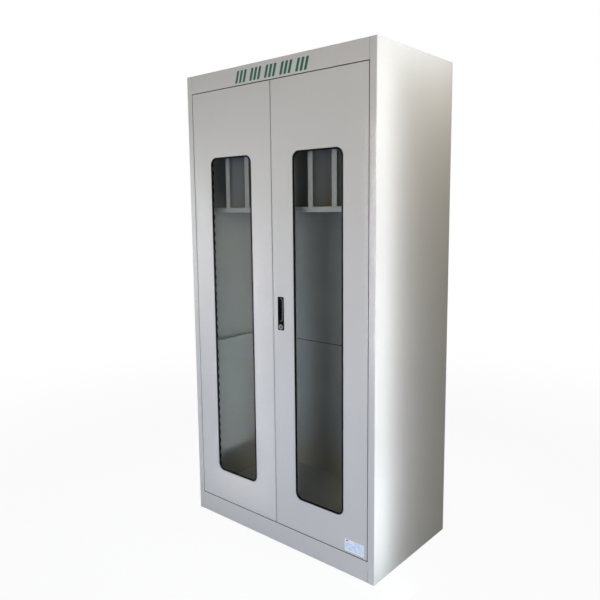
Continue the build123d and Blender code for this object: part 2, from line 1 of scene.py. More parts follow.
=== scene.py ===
# %% [markdown]
# # A steel tool cabinet with windowed doors
#
# The cabinet is folded from thin steel sheet, spot-welded and sprayed with a light grey powder
# that is baked into a hard, slightly pebbled skin. Two doors turn on hidden pins, and each has a
# narrow window held in a black rubber section. A flush black handle with a lock works two rods.
#
# Every steel, rubber and glass piece already stands in its right place, in metres, because a
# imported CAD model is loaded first. The lesson gives each of them its finish and adds the fine
# pieces that a CAD model leaves out. Nothing that was loaded is moved or reshaped.
#
# The bodies that the pieces ride on turn by quaternions. Blender's three Euler angles grow
# inaccurate where the key has turned a quarter while its door stands open, and would set the
# lock about a millimetre off its place there.

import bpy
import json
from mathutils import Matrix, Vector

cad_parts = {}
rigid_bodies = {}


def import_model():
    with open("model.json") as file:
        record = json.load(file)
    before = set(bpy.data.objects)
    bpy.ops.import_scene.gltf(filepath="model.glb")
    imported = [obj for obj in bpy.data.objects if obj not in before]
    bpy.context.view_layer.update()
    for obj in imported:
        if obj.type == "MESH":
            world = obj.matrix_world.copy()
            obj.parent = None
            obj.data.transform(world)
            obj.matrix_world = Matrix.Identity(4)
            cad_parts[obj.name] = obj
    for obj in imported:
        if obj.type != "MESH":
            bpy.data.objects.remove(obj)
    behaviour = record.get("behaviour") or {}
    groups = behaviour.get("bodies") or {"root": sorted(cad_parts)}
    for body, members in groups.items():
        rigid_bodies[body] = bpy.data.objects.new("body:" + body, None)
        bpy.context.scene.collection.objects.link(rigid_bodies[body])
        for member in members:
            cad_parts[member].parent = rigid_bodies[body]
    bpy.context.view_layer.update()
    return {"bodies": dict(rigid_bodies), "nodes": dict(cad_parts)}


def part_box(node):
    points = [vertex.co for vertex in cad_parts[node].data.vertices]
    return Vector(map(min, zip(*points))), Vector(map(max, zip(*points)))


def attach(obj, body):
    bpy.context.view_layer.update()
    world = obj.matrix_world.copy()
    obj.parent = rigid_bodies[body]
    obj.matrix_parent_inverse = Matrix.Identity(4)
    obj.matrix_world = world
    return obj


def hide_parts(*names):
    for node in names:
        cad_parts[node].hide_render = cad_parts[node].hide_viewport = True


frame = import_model()
for body in frame["bodies"].values():
    body.rotation_mode = "QUATERNION"

# %% Tools for the whole lesson
import json
from math import cos, pi, radians, sin

import bmesh
import bpy
from mathutils import Matrix, Vector

scene = bpy.context.scene
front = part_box("header_rail")[0].y
print("the face of the front frame is at y =", round(front, 4))

# %% [markdown]
# ## The view
#
# A real lens is described by where it stands, which way it looks and how wide it sees. The
# camera stands to the right of the cabinet at about chest height and looks slightly down, so
# the front, the right-hand side and the shape of the windows all show. It is turned by a matrix
# whose columns are the camera's right, up and back directions, which is easier to check than
# three Euler angles.

# %% Camera
picture_side = 600                  # pixels across a square picture
focal_length = 617.41               # in the same pixels
view_centre = (297.94, 290.57)      # the pixel that the lens points at
standpoint = (1.71196, -2.09924, 1.41853)
azimuth, elevation, roll = radians(40.813), radians(7.488), radians(-0.596)

lens = bpy.data.cameras.new("view")
lens.lens = focal_length / picture_side * lens.sensor_width
lens.shift_x = 0.5 - view_centre[0] / picture_side
lens.shift_y = view_centre[1] / picture_side - 0.5
lens.clip_end = 200.0
camera = bpy.data.objects.new("view", lens)
scene.collection.objects.link(camera)

back = Vector((sin(azimuth) * cos(elevation), -cos(azimuth) * cos(elevation), sin(elevation)))
level = Vector((0, 0, 1)).cross(back).normalized()
upright = back.cross(level)
right = cos(roll) * level + sin(roll) * upright
up = cos(roll) * upright - sin(roll) * level
turn = Matrix((right, up, back)).transposed().to_4x4()
camera.matrix_world = Matrix.Translation(standpoint) @ turn
scene.camera = camera
print("lens of", round(lens.lens, 2), "mm, shifted by", round(lens.shift_x, 4), round(lens.shift_y, 4))

# %% [markdown]
# ## A short way to write nodes
#
# A finish or a shape made of nodes is a chain, and written out link by link it is hard to read.
# Three small classes let the lesson write it as arithmetic instead. `Value` wraps the output of
# a node and knows +, -, *, < and >, so `1 - mask` makes a Math node. `Graph` holds the nodes, and
# its single method `node` makes any node from its type, settings and inputs. `Shading` is the
# graph of a material or a sky, with the few patterns that the finishes here share.

# %% Values and graphs
class Value:
    """One output of a node, which Python's operators can work on."""

    def __init__(self, graph, socket):
        self.graph, self.socket = graph, socket

    def math(self, operation, first, second):
        return self.graph.node("ShaderNodeMath", {"operation": operation}, {0: first, 1: second})

    def __add__(self, other):
        return self.math("ADD", self, other)

    def __sub__(self, other):
        return self.math("SUBTRACT", self, other)

    def __rsub__(self, other):
        return self.math("SUBTRACT", other, self)

    def __mul__(self, other):
        return self.math("MULTIPLY", self, other)

    def __lt__(self, other):
        return self.math("LESS_THAN", self, other)

    def __gt__(self, other):
        return self.math("GREATER_THAN", self, other)

    __radd__, __rmul__ = __add__, __mul__


class Graph:
    """A tree of nodes. A type is named in full, or without the start that its kind of tree has."""

    def __init__(self, tree, family):
        self.tree, self.family = tree, family
        tree.nodes.clear()

    def node(self, kind, settings=None, values=None, output=0):
        full = kind if "Node" in kind else self.family + kind
        made = self.tree.nodes.new(full)
        for name, setting in (settings or {}).items():
            setattr(made, name, setting)
        for name, value in (values or {}).items():
            for given in value if isinstance(value, list) else [value]:
                if isinstance(given, Value):
                    self.tree.links.new(given.socket, made.inputs[name])
                else:
                    made.inputs[name].default_value = given
        return Value(self, made.outputs[output]) if made.outputs else None


class Shading(Graph):
    """The nodes of one material, or of the sky."""

    def __init__(self, owner):
        owner.use_nodes = True
        super().__init__(owner.node_tree, "ShaderNode")
        self.owner = owner

    def place(self, stretch=(1, 1, 1)):
        """Where a point of the piece is, in metres, with the pattern stretched along the axes."""
        spot = self.node("TexCoord", output="Object")
        return self.node("Mapping", {}, {"Vector": spot, "Scale": stretch})

    def noise(self, scale, detail=2.0, stretch=(1, 1, 1)):
        return self.node("TexNoise", {}, {"Vector": self.place(stretch), "Scale": scale, "Detail": detail})

    def ramp(self, value, low, high):
        """0 below low, 1 above high, and a smooth step between them."""
        return self.node("MapRange", {"interpolation_type": "SMOOTHSTEP"},
                         {"Value": value, "From Min": low, "From Max": high})

    def mix(self, share, first, second):
        """A colour between two colours."""
        return self.node("Mix", {"data_type": "RGBA"}, {0: share, 6: first, 7: second}, output=2)

    def bump(self, height, distance, strength=1.0):
        return self.node("Bump", {}, {"Height": height, "Distance": distance, "Strength": strength})

    def surface(self, **values):
        """Ends the chain in a Principled surface, and gives the material."""
        named = {name.replace("_", " "): value for name, value in values.items()}
        shader = self.node("BsdfPrincipled", {}, named)
        self.node("OutputMaterial", {}, {"Surface": shader})
        return self.owner


def tone(red, green, blue):
    return (red, green, blue, 1.0)


def finish(name):
    """A new, empty material to build a finish in."""
    return Shading(bpy.data.materials.new(name))


def dress(material, *names):
    """Give loaded pieces their finish."""
    for name in names:
        for slot in frame["nodes"][name].material_slots:
            slot.material = material
    print(material.name, "on", len(names), "pieces")


# %% [markdown]
# ## Floor and light
#
# Painted sheet shows its shape through soft changes of tone, so the light comes from broad
# panels, as in a studio. Three light the doors from the front, warmer above and cooler below.
# One stands far to the left, where the panes don't mirror it into the camera, and one far to
# the right. Three panels with grids, which keep their light in narrow beams, reach through the
# windows to the left wall, and a fourth keeps to the right-hand stile. Three upright strips, a
# short bar and a panel above the corner stand close to the right-hand side, so that it is
# almost white along its front and top edges and fades from them. One more panel hangs over the
# top sheet, and one lights the back.
#
# From some sides the panes would mirror five of the panels as bright or coloured shapes, so
# those are kept out of the gloss.
#
# The camera sees the sky and most of the floor as plain white, so no horizon cuts through the
# view. To the other rays the sky is dim and the floor is plain matt paint, and the floor isn't
# mirrored at all, so the panes stay clear. The "Standard" view transform keeps whites white.

# %% Sky
scene.view_settings.view_transform = "Standard"
sky = Shading(bpy.data.worlds.new("sky"))
scene.world = sky.owner
seen = sky.node("LightPath", output="Is Camera Ray")
fill = sky.node("Background", {}, {"Color": tone(1.0, 0.98, 0.95), "Strength": 0.05})
white = sky.node("Background", {}, {"Color": tone(1.0, 1.0, 1.0), "Strength": 1.0})
both = sky.node("MixShader", {}, {0: seen, 1: fill, 2: white})
sky.node("OutputWorld", {}, {"Surface": both})
print("sky made of", len(sky.tree.nodes), "nodes")


# %% Panels of light
def light_panel(name, place, target, size, power, colour, spread):
    """A flat panel of light that faces its target; its size is (across, up)."""
    data = bpy.data.lights.new(name, "AREA")
    data.shape = "RECTANGLE"
    data.size, data.size_y = size
    data.energy = power
    data.color = colour
    data.spread = radians(spread)
    panel = bpy.data.objects.new(name, data)
    scene.collection.objects.link(panel)
    away = Vector(place) - Vector(target)
    panel.rotation_mode = "QUATERNION"
    panel.rotation_quaternion = away.to_track_quat("Z", "Y")
    panel.location = place
    panel.visible_camera = False
    return panel


panels = [
    # name, place, target, size in metres, power in watts, colour, spread in degrees
    ("upper_front", (0.75, -2.9, 1.5), (0.0, front, 1.3), (1.4, 0.8), 27.5, (1.0, 0.88, 0.80), 180),
    ("upper_right", (1.1, -2.8, 1.75), (0.1, front, 1.5), (1.2, 0.8), 7.6, (1.0, 0.78, 0.20), 180),
    ("lower_front", (0.9, -2.7, 0.4), (0.1, front, 0.6), (1.2, 0.6), 17.0, (0.22, 0.45, 1.0), 180),
    ("far_left", (-5.6, -3.4, 1.1), (0.0, front, 1.0), (1.6, 1.6), 150.0, (0.97, 1.0, 0.97), 180),
    ("far_right", (3.4, -1.4, 1.7), (0.0, front, 1.0), (1.2, 1.6), 19.0, (1.0, 0.95, 0.62), 180),
    ("gridded", (2.75, -2.7, 0.66), (-0.35, -0.25, 0.6), (0.8, 1.1), 1.2, (0.58, 0.74, 1.0), 26),
    ("beam_wide", (2.75, -2.7, 0.76), (-0.30, -0.25, 0.76), (0.14, 1.25), 0.2, (1.0, 0.95, 0.92), 4),
    ("beam_close", (2.4, -3.1, 0.76), (-0.18, -0.25, 0.76), (0.14, 1.25), 0.2, (1.0, 0.95, 0.92), 4),
    ("stile_beam", (0.512, -2.2, 1.24), (0.512, front, 1.24), (0.03, 0.96), 0.08, (1.0, 0.97, 0.96), 4),
    ("side_strip", (0.75, front, 1.02), (0.5, front, 1.02), (0.06, 1.78), 1.22, (0.97, 0.84, 1.0), 180),
    ("near_strip", (0.64, front + 0.03, 0.98), (0.5, front + 0.03, 0.98), (0.04, 1.94), 1.8,
     (0.88, 0.98, 1.0), 180),
    ("low_strip", (0.62, front + 0.03, 0.2), (0.5, front + 0.03, 0.2), (0.04, 0.45), 0.11,
     (0.75, 0.87, 1.0), 180),
    ("top_bar", (0.72, 0.05, 2.08), (0.5, 0.05, 1.99), (0.5, 0.04), 0.58, (0.70, 0.83, 1.0), 180),
    ("top_right", (1.1, 0.3, 2.3), (0.5, 0.1, 1.9), (0.9, 0.5), 5.8, (1.0, 0.90, 0.78), 180),
    ("overhead", (0.0, 0.1, 4.6), (0.0, 0.1, 2.0), (0.8, 0.5), 2.6, (1.0, 0.98, 0.96), 34),
    ("rear", (-1.0, 6.5, 1.3), (0.0, 0.3, 1.05), (1.2, 1.2), 6.0, (1.0, 0.98, 0.96), 26)]
out_of_gloss = ("upper_front", "upper_right", "lower_front", "far_right", "stile_beam")
for name, place, target, size, power, colour, spread in panels:
    panel = light_panel(name + "_light", place, target, size, power, colour, spread)
    panel.visible_glossy = name not in out_of_gloss


# %% Floor
def floor_plane(half_width):
    """A flat, pale floor that reaches far past the view."""
    mesh = bpy.data.meshes.new("floor")
    corners = [(-half_width, -half_width, 0), (half_width, -half_width, 0),
               (half_width, half_width, 0), (-half_width, half_width, 0)]
    mesh.from_pydata(corners, [], [(0, 1, 2, 3)])
    plane = bpy.data.objects.new("floor", mesh)
    scene.collection.objects.link(plane)
    plane.visible_glossy = False
    return plane


def floor_paint(name):
    """Matt paint, which the camera sees as almost pure white close by and as white far off."""
    near, far_off = 1.5, 4.0                # metres from the middle of the cabinet
    white_near, white_far = 0.94, 1.0
    paint = finish(name)
    spot = paint.node("TexCoord", output="Object")
    distance = paint.node("VectorMath", {"operation": "LENGTH"}, {0: spot}, output=1)
    far = paint.ramp(distance, near, far_off)
    base = paint.mix(paint.noise(0.6, 3.0), tone(0.80, 0.86, 0.95), tone(0.78, 0.84, 0.93))
    matt = paint.node("BsdfPrincipled", {}, {
        "Base Color": base, "Roughness": 1.0, "Specular IOR Level": 0.0})
    bright = paint.node("Emission", {}, {"Color": tone(1.0, 1.0, 1.0), "Strength": 1.0})
    share = paint.node("LightPath", output="Is Camera Ray") * (far * (white_far - white_near) + white_near)
    seen_floor = paint.node("MixShader", {}, {0: share, 1: matt, 2: bright})
    paint.node("OutputMaterial", {}, {"Surface": seen_floor})
    return paint.owner


floor_reach = 60.0
floor = floor_plane(floor_reach)
floor.data.materials.append(floor_paint("pale_floor"))
print("floor of", 2 * floor_reach, "metres each way")

# %% [markdown]
# ## Powder coat
#
# Powder is sprayed on dry and melts into a skin about a tenth of a millimetre thick. Seen
# close, it is slightly pebbled like orange peel, which breaks up the gloss. Its colour is even
# but never perfect: it is a touch darker in broad clouds, fine dust settles in the pebbles, and
# hands and cloths leave dull streaks. Three noises at three scales give those three layers.
#
# Two places get painted shade, nearly black: the hollows of the four posts, which makes their
# ladders of slots stand out, and the edges that face each other round the doors, which darkens
# the gaps. Both places follow from sizes, so two masks on the position of a point find them.

# %% Places painted with shade
sheet_thickness = 0.001
on_face = 0.0004                        # a point this near a face counts as lying on it
side_gap, level_gap = 0.0025, 0.003     # round a door: towards the stile, and above and below
opening_edge = 0.4705                   # just past the stile's inner edge, from the middle
shade_starts_behind, shade_full_behind, edge_depth = 0.0008, 0.002, 0.03    # painted shade in the gaps, behind the front: where it starts, is full and ends
post_hollow = 0.0145                    # half of a post's hollow, from front to back
post_middles = [(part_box(name)[0].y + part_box(name)[1].y) / 2
                for name in ("post_front_right", "post_rear_right")]


def position(paint):
    """The x, y and z of a point as three values, with x the same on the left and the right."""
    spot = paint.node("TexCoord", output="Object")
    x, y, z = [paint.node("SeparateXYZ", {}, {0: spot}, output=axis) for axis in "XYZ"]
    return paint.node("Math", {"operation": "ABSOLUTE"}, {0: x}), y, z


def close_to(value, target, within=on_face):
    """1 where a value is as good as its target, and 0 elsewhere."""
    return value.graph.node("Math", {"operation": "COMPARE"}, {0: value, 1: target, 2: within})


def post_hollow_shade(paint):
    """Mask of painted shade: 1 in the hollow of a post, between its slotted face and the side sheet."""
    x, y, z = position(paint)
    face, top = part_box("post_front_right")[0].x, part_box("post_front_right")[1].z
    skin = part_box("side_panel_right")[1].x - sheet_thickness
    return ((x > face + sheet_thickness / 2) * (x < skin + on_face) * (z < top)
            * (close_to(y, post_middles[0], post_hollow) + close_to(y, post_middles[1], post_hollow)))


def door_gap_shade(paint):
    """Mask of painted shade: 1 on the edges that face each other across the gaps between the doors and the
    frame.
    """
    x, y, z = position(paint)
    low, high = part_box("door_pan_right")
    edges = (close_to(x, high.x) + close_to(x, high.x + side_gap) + close_to(z, high.z)
             + close_to(z, high.z + level_gap) + close_to(z, low.z) + close_to(z, low.z - level_gap))
    behind = paint.ramp(y, front + shade_starts_behind, front + shade_full_behind) * (y < front + edge_depth)
    return behind * (x < opening_edge) * edges


print("the posts stand at y =", [round(middle, 4) for middle in post_middles])


# %% Light grey powder coat
def powder_coat(name, colour, shade, steel):
    """A pebbled coat, clouded from colour to shade; steel is the near-black colour of painted shade in the
    posts' hollows and the gaps.
    """
    paint = finish(name)
    clouds = paint.ramp(paint.noise(1.7, 3.0), 0.3, 0.7)
    grain = paint.noise(1400.0, 1.0)
    streaks = paint.ramp(paint.noise(9.0, 4.0, (1, 1, 0.12)), 0.45, 0.8)
    pebbles = paint.noise(420.0, 2.0)
    coat = paint.mix(clouds * 0.5 + grain * 0.25 + streaks * 0.15, colour, shade)
    # Painted shade: nearly black in the posts' hollows, and 85 percent of the way to it on the edges round
    # the doors.
    painted_shade = post_hollow_shade(paint) + door_gap_shade(paint) * 0.85
    base = paint.mix(painted_shade, coat, steel)
    roughness = 0.36 + grain * 0.08 + streaks * 0.1
    return paint.surface(Base_Color=base, Roughness=roughness, Normal=paint.bump(pebbles, 0.00008, 0.6))


# The last colour is the near-black painted shade of the posts' hollows and the gaps round the doors.
grey_coat = powder_coat("grey_powder_coat", tone(0.545, 0.54, 0.525), tone(0.50, 0.495, 0.48),
                        tone(0.03, 0.03, 0.03))
painted = [name for name in frame["nodes"]
           if name.startswith(("side_panel", "header", "plinth", "top_", "floor", "rear_base", "back_panel",
                               "foot_plates", "post_", "divider_", "shelf_bearer", "door_pan",
                               "door_stiffener", "closing_strip"))]
dress(grey_coat, *painted)

# %% [markdown]
# ## Rubber, glass and moulded plastic
#
# The window section is extruded rubber: nearly black, dull, with a faint bloom of grey where it
# has been handled. The panes are float glass, which is slightly green through its edge. The
# handle is moulded in black nylon with a fine spark-eroded grain, and a light grey painted
# highlight runs round the rim of its finger pocket, strongest on the right. The guides of the
# rods are plain nylon, and the bushes of the hinges are the same but dark with grease.

# %% Rubber
def rubber(name):
    black = finish(name)
    bloom = black.ramp(black.noise(35.0, 4.0), 0.5, 0.8)
    skin = black.noise(1800.0, 2.0)
    base = black.mix(bloom * 0.6 + skin * 0.2, tone(0.006, 0.006, 0.006), tone(0.016, 0.0155, 0.015))
    return black.surface(Base_Color=base, Roughness=0.45 + bloom * 0.2, Specular_IOR_Level=0.08,
                         Normal=black.bump(skin, 0.00006, 0.5))


black_rubber = rubber("black_rubber")
dress(black_rubber, "window_gasket_left", "window_gasket_right", "door_bumpers")

# %% Glass
def float_glass(name):
    """A thin clear pane: light goes straight through, and more of it is mirrored at a low angle."""
    glass = finish(name)
    haze = glass.ramp(glass.noise(14.0, 5.0, (1, 1, 0.3)), 0.5, 0.9)
    through = glass.node("BsdfTransparent", {}, {"Color": tone(0.945, 0.965, 0.955)})
    mirror = glass.node("BsdfGlossy", {}, {"Color": tone(1.0, 1.0, 1.0), "Roughness": haze * 0.05})
    slant = glass.node("LayerWeight", {}, {"Blend": 0.5}, output="Facing")
    steep = glass.node("Math", {"operation": "POWER"}, {0: slant, 1: 5.0})
    both = glass.node("MixShader", {}, {0: steep * 0.96 + 0.04, 1: through, 2: mirror})
    glass.node("OutputMaterial", {}, {"Surface": both})
    return glass.owner


clear_glass = float_glass("float_glass")
dress(clear_glass, "window_glass_left", "window_glass_right")

# %% Painted highlight round the handle's finger pocket
housing_low, housing_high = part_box("handle_housing")
pocket_rise = 0.0155                    # of the pocket's middle above the housing's
pocket_middle = ((housing_low.x + housing_high.x) / 2, (housing_low.z + housing_high.z) / 2 + pocket_rise)
pocket_size, pocket_corner = (0.0165, 0.089), 0.005
highlight_full_within, highlight_gone_at = 0.0012, 0.0034    # from the pocket's edge: painted highlight full, and gone
highlight_from, highlight_full_at = -0.006, 0.004      # across the pocket: where the painted highlight starts and is full
before_door = 0.0005                        # a point this far in front of the door is on the plate


def pocket_rim_highlight(paint):
    """A painted highlight: 1 along the rim of the finger pocket, fading out towards its left-hand side, and 0
    away from the rim.
    """
    spot = paint.node("TexCoord", output="Object")
    x, y, z = [paint.node("SeparateXYZ", {}, {0: spot}, output=axis) for axis in "XYZ"]
    sides = []
    for value, middle, size in zip((x, z), pocket_middle, pocket_size):
        off = paint.node("Math", {"operation": "ABSOLUTE"}, {0: value - middle}) - (size / 2 - pocket_corner)
        sides.append(paint.node("Math", {"operation": "MAXIMUM"}, {0: off, 1: 0.0}))
    away = paint.node("Math", {"operation": "SQRT"}, {0: sides[0] * sides[0] + sides[1] * sides[1]})
    near = 1 - paint.ramp(away, pocket_corner + highlight_full_within, pocket_corner + highlight_gone_at)
    highlight_side = paint.ramp(x, pocket_middle[0] + highlight_from, pocket_middle[0] + highlight_full_at)
    on_plate = y < front - before_door
    return near * highlight_side * on_plate * paint.ramp(paint.noise(400.0, 2.0), 0.2, 0.5)


print("the finger pocket's middle is at", [round(value, 4) for value in pocket_middle])


# %% Moulded plastic
def moulded(name, colour, worn, roughness, rubbed=None):
    """Plastic with the fine grain of its mould; rubbed, if given, masks a light grey painted highlight."""
    plastic = finish(name)
    erosion = plastic.noise(2600.0, 1.0)
    wear = plastic.ramp(plastic.noise(60.0, 3.0), 0.55, 0.75)
    base = plastic.mix(wear * 0.5 + erosion * 0.2, colour, worn)
    if rubbed:
        # Painted highlight: light grey where the rubbed mask is 1.
        base = plastic.mix(rubbed(plastic), base, tone(0.25, 0.25, 0.25))
    return plastic.surface(Base_Color=base, Roughness=roughness + erosion * 0.08 - wear * 0.06,
                           Normal=plastic.bump(erosion, 0.00005, 0.6))


black_plastic = moulded("black_moulded_plastic", tone(0.002, 0.002, 0.0022), tone(0.006, 0.006, 0.0065),
                        0.13, pocket_rim_highlight)
white_nylon = moulded("natural_nylon", tone(0.62, 0.60, 0.54), tone(0.52, 0.50, 0.44), 0.45)
greased_nylon = moulded("greased_nylon", tone(0.16, 0.15, 0.13), tone(0.07, 0.065, 0.06), 0.4)
dress(black_plastic, "handle_housing")
dress(white_nylon, "rod_guides")
dress(greased_nylon, *[name for name in frame["nodes"] if name.startswith("hinge_bush")])

# %% [markdown]
# ## Bright metal
#
# The lock's ring is turned brass with a chrome skin, its plug is nickel dulled by the key, and
# the parts that nobody sees are zinc plated, which dries to a patchy, blue and yellow film.

# %% Chrome and zinc
def chromed(name):
    chrome = finish(name)
    turning = chrome.noise(900.0, 2.0)
    marks = chrome.ramp(chrome.noise(240.0, 3.0), 0.55, 0.8)
    base = chrome.mix(marks * 0.5, tone(0.75, 0.75, 0.76), tone(0.6, 0.6, 0.6))
    return chrome.surface(Base_Color=base, Metallic=1.0, Roughness=0.28 + marks * 0.12,
                          Normal=chrome.bump(turning, 0.00002, 0.3))


def zinc_plated(name):
    zinc = finish(name)
    patches = zinc.ramp(zinc.noise(28.0, 4.0), 0.35, 0.65)
    spangle = zinc.noise(500.0, 2.0)
    base = zinc.mix(patches, tone(0.52, 0.54, 0.57), tone(0.56, 0.54, 0.46))
    return zinc.surface(Base_Color=base, Metallic=1.0, Roughness=0.3 + spangle * 0.2,
                        Normal=zinc.bump(spangle, 0.00003, 0.4))


def dulled(name):
    nickel = finish(name)
    rubbed = nickel.ramp(nickel.noise(300.0, 3.0), 0.4, 0.7)
    base = nickel.mix(rubbed, tone(0.16, 0.16, 0.165), tone(0.30, 0.30, 0.30))
    return nickel.surface(Base_Color=base, Metallic=1.0, Roughness=0.42 + rubbed * 0.15,
                          Normal=nickel.bump(nickel.noise(900.0, 2.0), 0.00002, 0.3))


lock_chrome = chromed("turned_chrome")
plug_nickel = dulled("dulled_nickel")
zinc_steel = zinc_plated("zinc_plated_steel")
dress(lock_chrome, "lock_barrel")
dress(plug_nickel, "lock_plug")
dress(zinc_steel, "shelf_clips", "handle_clamp", "handle_screws", "lock_nut", "crank_disc", "crank_pins",
      "rod_upper", "rod_lower", *[name for name in frame["nodes"] if name.startswith("pivot_pin")])

# %% [markdown]
# ## Shapes made of nodes
#
# Some pieces follow a rule: a rubber section runs round a window, and the same mark is printed
# again and again. Geometry Nodes describe such a rule once, with named inputs, and each piece
# is one run of it with its own values. The result is kept as a plain mesh and the modifier is
# taken off, so the piece can be moved, joined and exported like any other.

# %% Geometry Nodes to a plain mesh
class Shaping(Graph):
    """A group of Geometry Nodes with named inputs, whose result is kept as a plain mesh."""

    def __init__(self, name, **inputs):
        super().__init__(bpy.data.node_groups.new(name, "GeometryNodeTree"), "GeometryNode")
        self.tree.interface.new_socket("shape", in_out="OUTPUT", socket_type="NodeSocketGeometry")
        for label, kind in inputs.items():
            self.tree.interface.new_socket(label, in_out="INPUT", socket_type="NodeSocket" + kind)
        self.way_in = self.tree.nodes.new("NodeGroupInput")

    def input(self, label):
        return Value(self, self.way_in.outputs[label])

    def end(self, shape):
        """Makes real faces of every copy and gives them the finish."""
        real = self.node("RealizeInstances", {}, {"Geometry": shape})
        dressed = self.node("SetMaterial", {}, {"Geometry": real, "Material": self.input("finish")})
        self.node("NodeGroupOutput", {}, {"shape": dressed})

    def make(self, name, body, **values):
        """Runs the group once, and gives the result as a piece that rides on a body."""
        piece = bpy.data.objects.new(name, bpy.data.meshes.new(name))
        scene.collection.objects.link(piece)
        modifier = piece.modifiers.new("shape", "NODES")
        modifier.node_group = self.tree
        for item in self.tree.interface.items_tree:
            if item.in_out == "INPUT":
                modifier[item.identifier] = values[item.name]
        ready = piece.evaluated_get(bpy.context.evaluated_depsgraph_get())
        mesh = bpy.data.meshes.new_from_object(ready)
        piece.modifiers.clear()
        piece.data = mesh
        outwards(mesh)
        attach(piece, body)
        print(name, "has", len(mesh.polygons), "faces")
        return piece


def outwards(mesh):
    """Turns every face of a closed mesh to the outside."""
    shell = bmesh.new()
    shell.from_mesh(mesh)
    bmesh.ops.recalc_face_normals(shell, faces=shell.faces)
    shell.to_mesh(mesh)
    shell.free()


# %% [markdown]
# ## Window section
#
# The pane is held by one extruded rubber section: a slot on its outer side grips the edge of
# the door sheet, a slot on its inner side grips the glass, and its face is a low crown with a
# groove for the locking strip. It is cut to length and bent round the opening, so its shape
# is a section that follows a path. The path is a rectangle with round corners.

# %% Section of the rubber
mm = 0.001
section_width = 0.0068      # what shows of the rubber, over the sheet's edge and the glass
section_overlap = 0.0049    # how far it reaches over the door sheet
section_web = 0.0005        # the rubber between the sheet's edge and the pane's edge
section_corner = 0.0309     # the radius of its outer corners
section_face = [(0.0, 0.0), (0.1, -0.6), (0.5, -1.15), (1.2, -1.55), (2.2, -1.8), (3.0, -1.75), (3.25, -1.25),
                (3.95, -1.2), (4.2, -1.7), (5.2, -1.6), (6.1, -1.25), (6.65, -0.8), (6.8, -0.2), (6.8, 0.0)]
section_slots = [(5.4, 0.0), (5.4, 4.0), (6.8, 4.0), (6.7, 4.8), (6.2, 5.4), (5.4, 5.8), (1.4, 5.8),
                 (0.6, 5.4), (0.1, 4.8), (0.0, 4.0), (0.0, 1.0), (4.9, 1.0), (4.9, 0.0)]


def section_curve(name, points):
    """A closed outline, across and into the door, to be carried along a path."""
    curve = bpy.data.curves.new(name, "CURVE")
    curve.dimensions = "3D"
    spline = curve.splines.new("POLY")
    spline.points.add(len(points) - 1)
    for point, (across, depth) in zip(spline.points, points):
        point.co = (section_width / 2 - across * mm, depth * mm, 0.0, 1.0)
    spline.use_cyclic_u = True
    outline = bpy.data.objects.new(name, curve)
    scene.collection.objects.link(outline)
    return outline


section = section_curve("rubber_section", section_face + section_slots)
print("the section has", len(section_face + section_slots), "corners")

# %% Rubber round the windows
rubber_run = Shaping("rubber_run", centre="Vector", width="Float", height="Float", radius="Float",
                     section="Object", finish="Material")
rectangle = rubber_run.node("CurvePrimitiveQuadrilateral", {"mode": "RECTANGLE"},
                            {"Width": rubber_run.input("width"), "Height": rubber_run.input("height")})
rounded = rubber_run.node("FilletCurve", {"mode": "POLY"},
                          {"Curve": rectangle, "Count": 14, "Radius": rubber_run.input("radius")})
level_path = rubber_run.node("SetCurveNormal", {"mode": "Z_UP"}, {"Curve": rounded})
outline = rubber_run.node("ObjectInfo", {}, {"Object": rubber_run.input("section")}, output="Geometry")
swept = rubber_run.node("CurveToMesh", {}, {"Curve": level_path, "Profile Curve": outline})
stood_up = rubber_run.node("Transform", {}, {"Geometry": swept, "Translation": rubber_run.input("centre"),
                                             "Rotation": (pi / 2, 0, 0)})
rubber_run.end(stood_up)

grip = section_width - 2 * (section_overlap + section_web)     # the pane's size less the path's
for side in ("left", "right"):
    low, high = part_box("window_glass_" + side)
    rubber_piece = rubber_run.make(
        "rubber_section_" + side, "door_" + side, section=section, finish=black_rubber,
        centre=((low.x + high.x) / 2, front, (low.z + high.z) / 2),
        radius=section_corner - section_width / 2,
        width=high.x - low.x - grip, height=high.z - low.z - grip)
    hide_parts("window_gasket_" + side)
bpy.data.objects.remove(section)

# %% [markdown]
# ## Printed marks and the label
#
# Such cabinets are printed in green on the header and carry a film label low on the right-hand
# door. Here the print is five plain groups of slanted bars, and the label is a clouded pale
# blue, blank but for a white rim and head, a red spot and ruled lines. Ink and film are real
# layers, a tenth to a fifth of a millimetre thick with round corners, so they catch the light
# along their edges.

# %% Green ink
def printed_ink(name):
    ink = finish(name)
    pinholes = ink.ramp(ink.noise(900.0, 3.0), 0.62, 0.7)
    cover = ink.noise(70.0, 3.0)
    base = ink.mix(cover * 0.6 + pinholes * 0.4, tone(0.002, 0.095, 0.062), tone(0.02, 0.16, 0.11))
    return ink.surface(Base_Color=base, Roughness=0.4 + cover * 0.2, Normal=ink.bump(cover, 0.00005, 0.5))


green_ink = printed_ink("green_screen_ink")
print(green_ink.name, "made of", len(green_ink.node_tree.nodes), "nodes")


